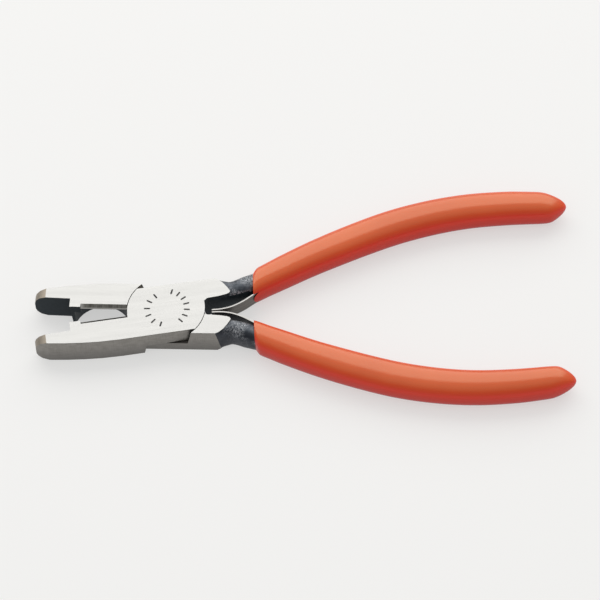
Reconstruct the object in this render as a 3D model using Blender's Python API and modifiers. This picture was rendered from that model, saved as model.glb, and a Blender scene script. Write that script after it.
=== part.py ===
"""Crimping pliers with a lap joint, a flat crimp mouth, a wire cutter and opening leaf springs.

Metres, +Z up. The pliers lie flat: the underside is z = 0 and the origin is on the pivot axis.
+X runs along the tool towards the handles and the jaws point to -X. Lever a has the handle on
the +Y side, lever b is its mirror image, and each jaw is on the other side from its handle.

Lever outlines are written for the closed tool, as (x, distance from the middle plane) in
millimetres, and rest_frame() turns each lever about the pivot to its sprung-open rest pose.
The leaf springs' line is written in the rest pose itself, because it changes with the opening.
"""
import math

import bmesh
import bpy
from mathutils import Matrix, Vector

MM = 0.001

# Driving dimensions, in millimetres and degrees.
THICKNESS = 8.4
MIDDLE = THICKNESS / 2
HALF_OPENING = 5.5
HEAD_HALF_WIDTH = 8.3
JOINT_RADIUS = 11.14
JOINT_ARC_END = 5.0
JOINT_GAP = 0.22
# The half joints meet below the middle: the upper one is thicker. Their rims lean inwards.
LAP_HEIGHT = 3.2
LAP_GAP = 0.3
RIM_SLOPE = 0.16
LAP_STEP = 0.05
CLOSED_GAP = 0.06

TIP_X = -38.4
CRIMP_BACK_X = -27.9
CUTTER_FRONT_X = -24.75
CUTTER_BACK_X = -JOINT_RADIUS - 0.06
CRIMP_DEPTH_FRONT = 3.25
CRIMP_DEPTH_BACK = 2.9
# The mouth tapers a little: these are its losses at the underside.
CRIMP_DRAFT = 0.4
CRIMP_BACK_DRAFT = 0.5
BEVEL_DROP = 0.9
BEVEL_WIDTH = 1.1
# How far the wedges that cut the edge run past the metal.
WEDGE_OVERRUN = 0.6

RELIEF_CENTRE = (-18.9, 2.27)
RELIEF_RADIUS = 8.1
RELIEF_ROOF = 5.7
EDGE_LAND = 0.1
BACK_BEVEL_WIDTH = 1.4

TIP_CREASE_X = -35.1
# Side view of the jaw's end above the middle plane: (x, height over the middle).
TIP_SIDE = [(-36.9, 3.55), (-38.0, 2.4), (TIP_X, 1.2)]
# The side view is a mask for the whole lever: it rises this far over it and ends behind it.
MASK_RISE = 2.5
MASK_END_X = 125.0
MASK_REACH = 60.0

SHANK_RADIUS = 3.2
RIVET_FLARE_RADIUS = 4.0
RIVET_FLARE_HEIGHT = 1.2
RUNNING_CLEARANCE = 0.09

SLEEVE_GAP = 0.3
GRIP_SQUARENESS = 2.6
NECK_STEP = 0.8
NECK_END_X = 27.0
HOLLOW_START_X = 21.2
GRIP_MOUTH_X = 25.8
GRIP_TIP_X = 118.2
# The tip is blunter on its inner side: (length, power) of the rounding on each side.
GRIP_TIP_OUTER = (7.0, 0.5)
GRIP_TIP_INNER = (4.6, 0.6)
GRIP_LIP_LENGTH = 1.7
GRIP_LIP_DEPTH = 0.22
MOUTH_LEAN = 0.12
MOUTH_LEAN_LENGTH = 9.0

LEAF_THICKNESS = 0.4
LEAF_WIDTH = 4.4
LEAF_HINGE = (29.2, 7.75)
LEAF_TAIL = (30.8, 8.58)
POCKET_GAP = 0.2
LEAF_OFFSET = -0.3
LEAF_RIVET_RADIUS = 0.8
LEAF_RIVET_HEAD_RADIUS = 1.1
LEAF_RIVET_HEAD = 0.22
LEAF_RIVET_GAP = 0.12
LEAF_RIVET_DEPTH = 2.4
LEAF_RIVET_HOLE_GAP = 0.1
LEAF_HOLE_GAP = 0.25

# Sides of the polygons that stand for circles and section curves.
LAP_SIDES = 90
RELIEF_SIDES = 72
RIVET_SIDES = 64
SMALL_SIDES = 24
TANG_SIDES = 36
GRIP_SIDES = 28
LEAF_STEPS_PER_SPAN = 4

# Jaw from its tip to the joint, along its outer edge: (x, distance from the middle plane).
JAW_OUTER = [(TIP_X - 1.0, 5.1), (-34.5, 6.35), (-30.0, 7.1), (-25.0, 7.75),
             (-20.0, 8.2), (-14.0, 8.4)]
# Shoulder behind the joint, from its inner edge round its slanting back to its outer edge.
SHOULDER = [(12.1, 1.75), (15.5, 1.9), (17.6, 2.2), (18.5, 2.5), (18.9, 3.1), (18.0, 4.9),
            (16.9, 6.6), (15.7, 7.7), (14.8, 8.2)]
# Neck and tang: (x, middle of the section, half width, half height, squareness of the section).
TANG = [(13.2, 5.05, 3.0, 3.9, 6.0), (15.6, 4.98, 3.17, 4.12, 6.0), (16.5, 4.96, 3.1, 4.08, 4.0),
        (17.5, 4.9, 2.9, 4.0, 3.4), (19.2, 4.83, 2.7, 3.92, 2.8), (21.2, 5.2, 2.78, 3.85, 2.7),
        (23.4, 5.9, 2.95, 3.75, 2.6), (26.0, 6.7, 2.85, 3.55, 2.6), (30.0, 8.1, 2.65, 3.3, 2.6),
        (45.7, 13.9, 2.5, 3.0, 2.6), (64.4, 19.35, 2.4, 2.8, 2.6), (76.7, 21.5, 2.3, 2.7, 2.6),
        (88.8, 22.2, 2.2, 2.5, 2.6), (100.8, 21.4, 1.9, 2.2, 2.6), (104.0, 21.05, 1.4, 1.7, 2.6)]
# Grip: the same line, continued to the rounded tip, with the half widths of the sleeve.
GRIP_LINE = [(23.4, 5.2), (26.0, 6.3), (30.0, 8.0), (45.7, 13.9), (64.4, 19.35), (76.7, 21.5),
             (88.8, 22.2), (100.8, 21.4), (112.0, 19.75), (119.0, 18.9)]
GRIP_HALF_WIDTH = [(25.0, 4.25), (40.0, 4.65), (52.0, 4.95), (70.0, 5.08), (90.0, 4.92),
                   (102.0, 4.75), (108.0, 4.55), (119.0, 4.3)]
GRIP_HALF_HEIGHT = MIDDLE
GRIP_STEPS = 26
# Leaf spring at rest, from its free end to the straight run into the grip, as (x, y). The two
# free ends bear on each other LEAF_OFFSET to one side of the tool's middle plane.
LEAF_PATH = [(13.0, 0.4), (15.1, 0.45), (16.9, 0.7), (18.6, 1.13), (20.3, 1.84), (22.1, 2.82),
             (23.8, 3.97)]

# Room between a leaf and its seat, at each point of the line from the neck to the tail.
SEAT_GAPS = [1.15, 0.97, 0.82, 0.35, 0.35, 0.35]

# Base colour, roughness and metallic share.
MATERIALS = {
    "forged_steel": ((0.60, 0.59, 0.56), 0.32, 1.0),
    "rivet_steel": ((0.62, 0.61, 0.59), 0.25, 1.0),
    "spring_steel": ((0.36, 0.35, 0.33), 0.30, 1.0),
    "grip_vinyl": ((0.60, 0.09, 0.035), 0.38, 0.0),
}


def clear_scene():
    for item in list(bpy.data.objects):
        bpy.data.objects.remove(item, do_unlink=True)


def new_collection(name):
    made = bpy.data.collections.new(name)
    bpy.context.scene.collection.children.link(made)
    return made


def make_material(name):
    colour, roughness, metallic = MATERIALS[name]
    material = bpy.data.materials.get(name) or bpy.data.materials.new(name)
    material.use_nodes = True
    shader = material.node_tree.nodes["Principled BSDF"]
    shader.inputs["Base Color"].default_value = (*colour, 1.0)
    shader.inputs["Roughness"].default_value = roughness
    shader.inputs["Metallic"].default_value = metallic
    return material


def link_mesh(name, mesh, collection):
    made = bpy.data.objects.new(name, mesh)
    collection.objects.link(made)
    return made


def as_cutter(item):
    item.hide_render = True
    item.display_type = "WIRE"
    return item


def boolean(target, cutter, operation):
    change = target.modifiers.new(cutter.name, "BOOLEAN")
    change.operation = operation
    change.object = cutter
    change.solver = "EXACT"


def rest_frame(side):
    """Turn a lever from the closed tool to its rest pose, about the pivot."""
    return Matrix.Rotation(math.radians(side * HALF_OPENING), 4, "Z")


def prism(name, outline, low, high, collection, plane="XY"):
    """A flat outline in millimetres, extruded between two heights across its plane."""
    curve = bpy.data.curves.new(name, "CURVE")
    curve.dimensions = "2D"
    curve.fill_mode = "BOTH"
    curve.extrude = (high - low) / 2 * MM
    spline = curve.splines.new("POLY")
    spline.points.add(len(outline) - 1)
    for point, (across, up) in zip(spline.points, outline):
        point.co = (across * MM, up * MM, 0, 1)
    spline.use_cyclic_u = True
    flat = bpy.data.objects.new(name + "_outline", curve)
    bpy.context.scene.collection.objects.link(flat)
    bpy.context.view_layer.update()
    evaluated = flat.evaluated_get(bpy.context.evaluated_depsgraph_get())
    mesh = bpy.data.meshes.new_from_object(evaluated)
    bpy.data.objects.remove(flat, do_unlink=True)
    middle = (low + high) / 2 * MM
    turns = {
        "XY": Matrix.Translation((0, 0, middle)),
        "XZ": Matrix.Translation((0, middle, 0)) @ Matrix.Rotation(math.pi / 2, 4, "X"),
        "YZ": Matrix.Translation((middle, 0, 0)) @ Matrix(
            ((0, 0, 1, 0), (1, 0, 0, 0), (0, 1, 0, 0), (0, 0, 0, 1))),
    }
    shape = bmesh.new()
    shape.from_mesh(mesh)
    bmesh.ops.remove_doubles(shape, verts=shape.verts, dist=1e-7)
    bmesh.ops.transform(shape, matrix=turns[plane], verts=shape.verts)
    bmesh.ops.recalc_face_normals(shape, faces=shape.faces)
    shape.to_mesh(mesh)
    shape.free()
    mesh.name = name
    return link_mesh(name, mesh, collection)


def turned(name, profile, steps, collection):
    """A solid of revolution about local Z: profile runs from the top of the axis to its bottom."""
    mesh = bpy.data.meshes.new(name)
    points = [(radius * MM, 0, height * MM) for radius, height in profile]
    mesh.from_pydata(points, [(i, i + 1) for i in range(len(points) - 1)], [])
    made = link_mesh(name, mesh, collection)
    screw = made.modifiers.new("turn", "SCREW")
    screw.steps = steps
    screw.render_steps = steps
    screw.use_merge_vertices = True
    screw.merge_threshold = 1e-6
    return made


def superellipse(half_width, half_height, squareness, count):
    """An oval ring: squareness 2 is an ellipse, and larger values fill its corners."""
    ring = []
    for index in range(count):
        angle = 2 * math.pi * (index + 0.5) / count
        across = math.copysign(abs(math.cos(angle)) ** (2 / squareness), math.cos(angle))
        up = math.copysign(abs(math.sin(angle)) ** (2 / squareness), math.sin(angle))
        ring.append((across, up))
    widest = max(across for across, _ in ring)
    highest = max(up for _, up in ring)
    return [(half_width * across / widest, half_height * up / highest) for across, up in ring]


def loft(name, stations, count, side, collection, lean=None):
    """A bar through stations of (x, y, half width, half height, squareness), along its own line.

    lean(x) says how far, from 0 to 1, a section turns to lie across the tool instead.
    """
    shape = bmesh.new()
    rings = []
    for index, (x, y, *section) in enumerate(stations):
        before = stations[max(index - 1, 0)]
        after = stations[min(index + 1, len(stations) - 1)]
        along = Vector((after[0] - before[0], after[1] - before[1])).normalized()
        square = Vector((-along.y, along.x))
        skewed = Vector((MOUTH_LEAN, 1.0)) / along.x
        axis = square.lerp(skewed, lean(x) if lean else 0.0)
        ring = []
        for across, up in superellipse(*section, count):
            place = (x + axis.x * across, side * (y + axis.y * across), MIDDLE + up)
            ring.append(shape.verts.new(Vector(place) * MM))
        rings.append(ring)
    for ring, following in zip(rings, rings[1:]):
        for index in range(count):
            after = (index + 1) % count
            shape.faces.new((ring[index], ring[after], following[after], following[index]))
    shape.faces.new(rings[0])
    shape.faces.new(rings[-1])
    bmesh.ops.recalc_face_normals(shape, faces=shape.faces)
    mesh = bpy.data.meshes.new(name)
    shape.to_mesh(mesh)
    shape.free()
    return link_mesh(name, mesh, collection)


def smooth_value(points, x):
    """A smooth curve through (x, value) points, by cubic pieces with averaged slopes."""
    spans = [index for index in range(len(points) - 1) if points[index][0] <= x]
    left = spans[-1] if spans else 0
    left = min(left, len(points) - 2)
    slopes = []
    for index in (left, left + 1):
        before = points[max(index - 1, 0)]
        after = points[min(index + 1, len(points) - 1)]
        slopes.append((after[1] - before[1]) / (after[0] - before[0]))
    (x0, v0), (x1, v1) = points[left], points[left + 1]
    span = x1 - x0
    t = (x - x0) / span
    hermite = ((2 * t**3 - 3 * t**2 + 1) * v0 + (3 * t**2 - 2 * t**3) * v1
               + (t**3 - 2 * t**2 + t) * span * slopes[0] + (t**3 - t**2) * span * slopes[1])
    return hermite


def arc(radius, start, end, steps):
    points = []
    for index in range(steps + 1):
        angle = math.radians(start + (end - start) * index / steps)
        points.append((radius * math.cos(angle), radius * math.sin(angle)))
    return points


def rim_radius(side, height):
    """Radius of a half joint's rim: full at its own face, less towards the lap."""
    depth = THICKNESS - height if side > 0 else height
    return JOINT_RADIUS - RIM_SLOPE * depth


def head_outline(side, radius):
    """Jaw, half joint and shoulder of one lever in plan; side is +1 for lever a."""
    corner = math.degrees(math.asin(HEAD_HALF_WIDTH / radius))
    outer = [(TIP_X - 1.0, -CLOSED_GAP)] + [(x, -y) for x, y in JAW_OUTER]
    right = arc(radius, -corner, JOINT_ARC_END, 14)
    left = arc(radius, 180 - corner, 180, 12)
    outline = [(-radius, -CLOSED_GAP)] + outer + right + SHOULDER + left
    return [(x, side * y) for x, y in outline]


def layered(name, layers, collection):
    """A solid through layers of (height, outline), all with the same number of points."""
    shape = bmesh.new()
    loops = []
    for height, outline in layers:
        loops.append([shape.verts.new(Vector((x, y, height)) * MM) for x, y in outline])
    for low, high in zip(loops, loops[1:]):
        for index in range(len(low)):
            after = (index + 1) % len(low)
            shape.faces.new((low[index], low[after], high[after], high[index]))
    shape.faces.new(loops[0])
    shape.faces.new(loops[-1])
    bmesh.ops.recalc_face_normals(shape, faces=shape.faces)
    mesh = bpy.data.meshes.new(name)
    shape.to_mesh(mesh)
    shape.free()
    return link_mesh(name, mesh, collection)


def make_head(name, side, parts):
    """Jaw, half joint and shoulder. Past the lap the joint is narrow: it is all cut away there."""
    near, far = (THICKNESS, 0.0) if side > 0 else (0.0, THICKNESS)
    at_lap = rim_radius(side, LAP_HEIGHT)
    layers = [(near, JOINT_RADIUS), (LAP_HEIGHT, at_lap),
              (LAP_HEIGHT - side * LAP_STEP, at_lap - 1.0), (far, at_lap - 1.0)]
    return layered(name, [(height, head_outline(side, radius)) for height, radius in layers], parts)


def make_mouth(name, side, cutters):
    """The crimp recess of one jaw, as a block that tapers towards the underside."""
    front = TIP_X - 2.0
    over = 1.0
    layers = []
    for height in (-over, THICKNESS + over):
        loss = 1.0 - height / THICKNESS
        back = CRIMP_BACK_X + CRIMP_BACK_DRAFT * loss
        rear, fore = (depth - CRIMP_DRAFT * loss for depth in (CRIMP_DEPTH_BACK, CRIMP_DEPTH_FRONT))
        corners = [(back, over), (back, -rear), (front, -fore), (front, over)]
        layers.append((height, [(x, side * y) for x, y in corners]))
    return as_cutter(layered(name + "_mouth", layers, cutters))


def make_lap(name, side, cutters):
    """Room for the other lever's half joint."""
    if side > 0:
        low, high = -1.0, LAP_HEIGHT + LAP_GAP / 2
    else:
        low, high = LAP_HEIGHT - LAP_GAP / 2, THICKNESS + 1.0
    radii = [rim_radius(-side, height) + JOINT_GAP for height in (low, high)]
    shape = bmesh.new()
    middle = Matrix.Translation((0, 0, (low + high) / 2 * MM))
    bmesh.ops.create_cone(shape, cap_ends=True, segments=LAP_SIDES, radius1=radii[0] * MM,
                          radius2=radii[1] * MM, depth=(high - low) * MM, matrix=middle)
    mesh = bpy.data.meshes.new(name + "_lap")
    shape.to_mesh(mesh)
    shape.free()
    return as_cutter(link_mesh(name + "_lap", mesh, cutters))


def rivet_profile(growth, reach):
    """Flared rivet: growth widens it into its own bore, reach runs it past both faces."""
    flare = RIVET_FLARE_RADIUS + growth
    shank = SHANK_RADIUS + growth
    low, high = 0.0, THICKNESS
    profile = [(0, high + reach), (flare, high + reach), (flare, high),
               (shank, high - RIVET_FLARE_HEIGHT), (shank, low + RIVET_FLARE_HEIGHT),
               (flare, low), (flare, low - reach), (0, low - reach)]
    if reach == 0:
        profile = [point for point in profile if point not in ((flare, high), (flare, low))]
        profile[1:1] = [(flare, high)]
        profile[-1:-1] = [(flare, low)]
    return profile


def leaf_place(point, side):
    """Place in millimetres, at rest, of a point of leaf a's line or of its mirror image."""
    x, y = point
    return Vector((x, side * y + LEAF_OFFSET))


def lever_frame_hinge(side):
    """The leaf's root rivet in the closed frame of its lever."""
    hinge = leaf_place(LEAF_HINGE, side).to_3d()
    x, y, _ = rest_frame(side).inverted() @ hinge
    return x, y


def rivet_matrix(side):
    """Frame at the leaf's root: local +Z is the leaf's normal, away from the tang."""
    x, y = lever_frame_hinge(side)
    before = Vector(LEAF_PATH[-1])
    along = (Vector(LEAF_HINGE) - before).normalized()
    slope = math.atan2(along.y, along.x) - math.radians(HALF_OPENING)
    axis_x = Vector((math.cos(slope), side * math.sin(slope), 0))
    axis_z = Vector((math.sin(slope), -side * math.cos(slope), 0))
    axis_y = axis_z.cross(axis_x)
    frame = Matrix((axis_x, axis_y, axis_z)).transposed().to_4x4()
    return Matrix.Translation(Vector((x, y, MIDDLE)) * MM) @ frame


def bake(item, matrix):
    """Move a shape's points into the frame its lever is drawn in."""
    item.data.transform(matrix)
    return item


def rod(name, radius, low, high, collection, steps=32):
    """A cylinder on local Z between two heights."""
    shape = bmesh.new()
    middle = Matrix.Translation((0, 0, (low + high) / 2 * MM))
    bmesh.ops.create_cone(shape, cap_ends=True, segments=steps, radius1=radius * MM,
                          radius2=radius * MM, depth=(high - low) * MM, matrix=middle)
    mesh = bpy.data.meshes.new(name)
    shape.to_mesh(mesh)
    shape.free()
    return link_mesh(name, mesh, collection)


def tip_side_profile():
    """Side view that the jaw is cut to: a crease, then facets down to a blunt end."""
    slope = (MIDDLE - TIP_SIDE[0][1]) / (TIP_CREASE_X - TIP_SIDE[0][0])
    top = MIDDLE + MASK_RISE
    upper = [(MASK_END_X, top), (TIP_CREASE_X + MASK_RISE / slope, top)] + TIP_SIDE
    return ([(x, MIDDLE + height) for x, height in upper]
            + [(x, MIDDLE - height) for x, height in reversed(upper)])


def make_lever(name, side, parts, cutters):
    head = make_head(name, side, parts)
    head.data.materials.append(make_material("forged_steel"))

    lap = make_lap(name, side, cutters)
    boolean(head, lap, "DIFFERENCE")

    relief = rod(name + "_relief", RELIEF_RADIUS, -1.0, RELIEF_ROOF, cutters, RELIEF_SIDES)
    bake(relief, Matrix.Translation(Vector((RELIEF_CENTRE[0], side * RELIEF_CENTRE[1], 0)) * MM))
    boolean(head, as_cutter(relief), "DIFFERENCE")

    mouth = make_mouth(name, side, cutters)
    boolean(head, mouth, "DIFFERENCE")

    bevel, back_bevel = make_edge_cutters(name, side, cutters)
    boolean(head, bevel, "DIFFERENCE")
    boolean(head, back_bevel, "DIFFERENCE")

    tip = as_cutter(prism(name + "_tip", tip_side_profile(), -MASK_REACH, MASK_REACH, cutters, "XZ"))
    boolean(head, tip, "INTERSECT")

    tang = as_cutter(loft(name + "_tang", tang_stations(TANG[0][0]), TANG_SIDES, side, cutters))
    boolean(head, tang, "UNION")

    bore_profile = rivet_profile(RUNNING_CLEARANCE, 1.0)
    bore = as_cutter(turned(name + "_bore", bore_profile, RIVET_SIDES, cutters))
    boolean(head, bore, "DIFFERENCE")

    seat = as_cutter(make_seat(name, side, cutters))
    boolean(head, seat, "DIFFERENCE")

    hole = rod(name + "_spring_hole", LEAF_RIVET_RADIUS + LEAF_RIVET_HOLE_GAP,
               -LEAF_RIVET_DEPTH - SLEEVE_GAP, 1.0, cutters, SMALL_SIDES)
    boolean(head, as_cutter(bake(hole, rivet_matrix(side))), "DIFFERENCE")

    head.matrix_world = rest_frame(side)
    for cutter in (lap, relief, mouth, bevel, back_bevel, tip, tang, bore, hole):
        cutter.matrix_world = rest_frame(side)
    return head


def make_edge_cutters(name, side, cutters):
    """The wedges that leave the cutting edge: one over it, one behind it above the relief."""
    edge = THICKNESS - BEVEL_DROP
    slope = BEVEL_DROP / BEVEL_WIDTH
    outermost = BEVEL_WIDTH + WEDGE_OVERRUN
    over = [(across, edge + (across - CLOSED_GAP) * slope) for across in (-WEDGE_OVERRUN, outermost)]
    over.append((-WEDGE_OVERRUN, over[1][1]))
    back = edge - EDGE_LAND
    fall = (back - RELIEF_ROOF) / (BACK_BEVEL_WIDTH - CLOSED_GAP)
    deepest = BACK_BEVEL_WIDTH + WEDGE_OVERRUN
    behind = [(across, back - (across - CLOSED_GAP) * fall) for across in (-WEDGE_OVERRUN, deepest)]
    behind.append((-WEDGE_OVERRUN, behind[1][1]))
    made = []
    for suffix, outline, shift in (("_bevel", over, 0.0), ("_back_bevel", behind, 0.02)):
        section = [(-side * across, height) for across, height in outline]
        wedge = prism(name + suffix, section, CUTTER_FRONT_X + shift, CUTTER_BACK_X - shift,
                      cutters, "YZ")
        made.append(as_cutter(wedge))
    return made


def tang_stations(start, growth=0.0):
    """Neck and tang sections: close together where the neck shows, wider apart in the grip."""
    centre, width, height, squareness = ([(station[0], station[part]) for station in TANG]
                                         for part in (1, 2, 3, 4))
    steps = round((NECK_END_X - start) / NECK_STEP)
    places = [start + NECK_STEP * index for index in range(steps + 1)]
    places += [station[0] for station in TANG if station[0] > NECK_END_X + NECK_STEP]
    return [(x, smooth_value(centre, x), smooth_value(width, x) + growth,
             smooth_value(height, x) + growth, smooth_value(squareness, x)) for x in places]


def make_seat(name, side, cutters):
    """Groove milled in the inner side of neck and tang: the leaf spring's seat and its travel."""
    line = [Vector(point) for point in LEAF_PATH[-3:] + [LEAF_HINGE, LEAF_TAIL]]
    line.append(line[-1] + (line[-1] - line[-2]).normalized() * 0.5)
    outline = []
    for index, point in enumerate(line):
        along = (line[min(index + 1, len(line) - 1)] - line[max(index - 1, 0)]).normalized()
        normal = Vector((-along.y, along.x))
        outline.append(point + normal * (LEAF_THICKNESS / 2 + SEAT_GAPS[index]))
    outline += [line[-1] + Vector((4.0, -6.0)), line[0] + Vector((4.0, -6.0))]
    low = MIDDLE - LEAF_WIDTH / 2 - SLEEVE_GAP
    places = [tuple(leaf_place(point, side)) for point in outline]
    return prism(name + "_seat", places, low, THICKNESS - low, cutters)


def grip_stations():
    """Sleeve sections: rounded at the mouth, full along the handle, bullet-shaped at the tip."""
    stations = []
    for index in range(GRIP_STEPS + 1):
        stations.append(GRIP_MOUTH_X + (GRIP_TIP_X - GRIP_MOUTH_X) * index / GRIP_STEPS)
    stations[1:1] = [GRIP_MOUTH_X + GRIP_LIP_LENGTH * share for share in (0.15, 0.5, 1.0)]
    stations[-1:] = [GRIP_TIP_X - back for back in (1.6, 0.8, 0.3, 0.06)]
    result = []
    for x in stations:
        from_mouth = x - GRIP_MOUTH_X
        to_tip = GRIP_TIP_X - x
        outer, inner = (min(1.0, to_tip / length) ** power
                        for length, power in (GRIP_TIP_OUTER, GRIP_TIP_INNER))
        outer *= 1.0 - GRIP_LIP_DEPTH * max(0.0, 1.0 - from_mouth / GRIP_LIP_LENGTH) ** 2
        width = smooth_value(GRIP_HALF_WIDTH, x)
        centre = smooth_value(GRIP_LINE, x) + width * (outer - inner) / 2
        half_height = GRIP_HALF_HEIGHT * (outer + inner) / 2
        result.append((x, centre, width * (outer + inner) / 2, half_height, GRIP_SQUARENESS))
    return result


def leaf_pocket_outline(side):
    """Room for the leaf's root between the tang and the sleeve, drawn in the rest pose."""
    start, hinge, tail = (Vector(point) for point in (LEAF_PATH[-1], LEAF_HINGE, LEAF_TAIL))
    first = (hinge - start).normalized()
    second = (tail - hinge).normalized()
    end = tail + second * 0.5
    outward = LEAF_THICKNESS / 2 + POCKET_GAP
    inward = -2.5
    outline = []
    for point, along, distance in ((start, first, outward), (hinge, first + second, outward),
                                   (end, second, outward), (end, second, inward),
                                   (start, first, inward)):
        normal = Vector((along.y, -along.x)).normalized()
        outline.append(leaf_place(point + normal * distance, side))
    return [tuple(point) for point in outline]


def mouth_lean(x):
    """The mouth lies across the tool; the sections turn square to the handle behind it."""
    return max(0.0, 1.0 - (x - GRIP_MOUTH_X) / MOUTH_LEAN_LENGTH)


def make_grip(name, side, parts, cutters):
    grip = loft(name, grip_stations(), GRIP_SIDES, side, parts, mouth_lean)
    grip.data.materials.append(make_material("grip_vinyl"))
    grown = tang_stations(HOLLOW_START_X, SLEEVE_GAP)
    end = grown[-1]
    grown.append((end[0] + SLEEVE_GAP, *end[1:]))
    hollow = as_cutter(loft(name + "_hollow", grown, TANG_SIDES, side, cutters))
    boolean(grip, hollow, "DIFFERENCE")

    low = MIDDLE - LEAF_WIDTH / 2 - SLEEVE_GAP
    pocket = prism(name + "_leaf_pocket", leaf_pocket_outline(side), low, THICKNESS - low, cutters)
    boolean(grip, as_cutter(pocket), "DIFFERENCE")

    reach = LEAF_THICKNESS / 2 + LEAF_RIVET_GAP + LEAF_RIVET_HEAD + POCKET_GAP
    head = rod(name + "_rivet_pocket", LEAF_RIVET_HEAD_RADIUS + POCKET_GAP, -1.0, reach, cutters,
               SMALL_SIDES)
    boolean(grip, as_cutter(bake(head, rivet_matrix(side))), "DIFFERENCE")

    grip.matrix_world = rest_frame(side)
    for cutter in (hollow, head):
        cutter.matrix_world = rest_frame(side)
    return grip


def leaf_line():
    """The leaf's middle line at rest, from free end to tail, by Catmull-Rom through its points."""
    control = [Vector(point) for point in LEAF_PATH + [LEAF_HINGE, LEAF_TAIL]]
    line = []
    for index in range(len(control) - 1):
        p1, p2 = control[index], control[index + 1]
        p0 = control[index - 1] if index else p1 * 2 - p2
        p3 = control[index + 2] if index + 2 < len(control) else p2 * 2 - p1
        for step in range(LEAF_STEPS_PER_SPAN):
            t = step / LEAF_STEPS_PER_SPAN
            line.append(0.5 * ((2 * p1) + (p2 - p0) * t + (2 * p0 - 5 * p1 + 4 * p2 - p3) * t**2
                               + (3 * p1 - p0 - 3 * p2 + p3) * t**3))
    line.append(control[-1])
    return line


def make_leaf(name, side, parts, cutters):
    """A strip of spring steel: an open ribbon along its line, thickened by Solidify."""
    hinge = leaf_place(LEAF_HINGE, side)
    low = -LEAF_WIDTH / 2
    shape = bmesh.new()
    rows = []
    for point in leaf_line():
        x, y = leaf_place(point, side) - hinge
        rows.append([shape.verts.new(Vector((x, y, z)) * MM) for z in (low, -low)])
    for row, following in zip(rows, rows[1:]):
        shape.faces.new((row[0], following[0], following[1], row[1]))
    mesh = bpy.data.meshes.new(name)
    shape.to_mesh(mesh)
    shape.free()
    leaf = link_mesh(name, mesh, parts)
    leaf.location = Vector((hinge.x, hinge.y, MIDDLE)) * MM
    leaf.data.materials.append(make_material("spring_steel"))
    thicken = leaf.modifiers.new("thickness", "SOLIDIFY")
    thicken.thickness = LEAF_THICKNESS * MM
    thicken.offset = 0
    hole = rod(name + "_hole", LEAF_RIVET_RADIUS + LEAF_HOLE_GAP, -1.0, 1.0, cutters, SMALL_SIDES)
    hole.matrix_world = rest_frame(side) @ rivet_matrix(side)
    boolean(leaf, as_cutter(hole), "DIFFERENCE")
    return leaf


def make_pivot_rivet(parts):
    rivet = turned("pivot_rivet", rivet_profile(0.0, 0.0), RIVET_SIDES, parts)
    rivet.data.materials.append(make_material("rivet_steel"))
    return rivet


def make_spring_rivet(name, side, parts):
    """Small rivet through the leaf's root into the tang: low head, plain shank."""
    under = LEAF_THICKNESS / 2 + LEAF_RIVET_GAP
    top = under + LEAF_RIVET_HEAD
    profile = [(0, top), (LEAF_RIVET_HEAD_RADIUS * 0.7, top), (LEAF_RIVET_HEAD_RADIUS, under + 0.1),
               (LEAF_RIVET_HEAD_RADIUS, under), (LEAF_RIVET_RADIUS, under),
               (LEAF_RIVET_RADIUS, -LEAF_RIVET_DEPTH), (0, -LEAF_RIVET_DEPTH)]
    rivet = turned(name, profile, SMALL_SIDES, parts)
    rivet.data.materials.append(make_material("rivet_steel"))
    rivet.matrix_world = rest_frame(side) @ rivet_matrix(side)
    return rivet


def main():
    clear_scene()
    parts = new_collection("crimping_pliers")
    cutters = new_collection("cutters")
    make_pivot_rivet(parts)
    for letter, side in (("a", 1), ("b", -1)):
        make_lever("lever_" + letter, side, parts, cutters)
        make_grip("grip_" + letter, side, parts, cutters)
        make_leaf("leaf_spring_" + letter, side, parts, cutters)
        make_spring_rivet("spring_rivet_" + letter, side, parts)


main()
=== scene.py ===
"""Looks for the crimping pliers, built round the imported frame. Metres; most numbers are in mm."""

import math

import bmesh
import bpy
from mathutils import Matrix, Vector


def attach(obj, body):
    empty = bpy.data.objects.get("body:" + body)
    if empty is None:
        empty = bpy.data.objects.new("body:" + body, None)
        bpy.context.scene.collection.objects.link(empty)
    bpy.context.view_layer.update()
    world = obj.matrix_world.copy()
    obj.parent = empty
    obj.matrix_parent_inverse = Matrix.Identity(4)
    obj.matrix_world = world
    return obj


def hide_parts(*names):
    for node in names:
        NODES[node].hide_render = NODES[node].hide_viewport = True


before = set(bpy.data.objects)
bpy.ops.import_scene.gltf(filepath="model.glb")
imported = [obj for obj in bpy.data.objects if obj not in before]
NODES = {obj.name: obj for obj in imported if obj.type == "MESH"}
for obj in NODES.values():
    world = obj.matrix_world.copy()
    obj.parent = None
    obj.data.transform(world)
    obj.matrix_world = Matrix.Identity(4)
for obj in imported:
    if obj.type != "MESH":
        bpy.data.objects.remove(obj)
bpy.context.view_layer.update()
MM = 0.001

# The tool: x along it with the jaws at -x, y across, z up from the table. Lever a's handle is at
# +y and lever b mirrors it. Each lever is turned by HALF_OPENING from the closed tool.
SIDES = {"a": 1, "b": -1}
HALF_OPENING = 5.5
THICKNESS = 8.4
MIDDLE = THICKNESS / 2
BORE_RADIUS = 4.09

# Where a noise texture's values mostly lie, and a wider range round them.
NOISE_MIDDLE = (0.35, 0.65)
NOISE_WIDE = (0.3, 0.7)


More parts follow.
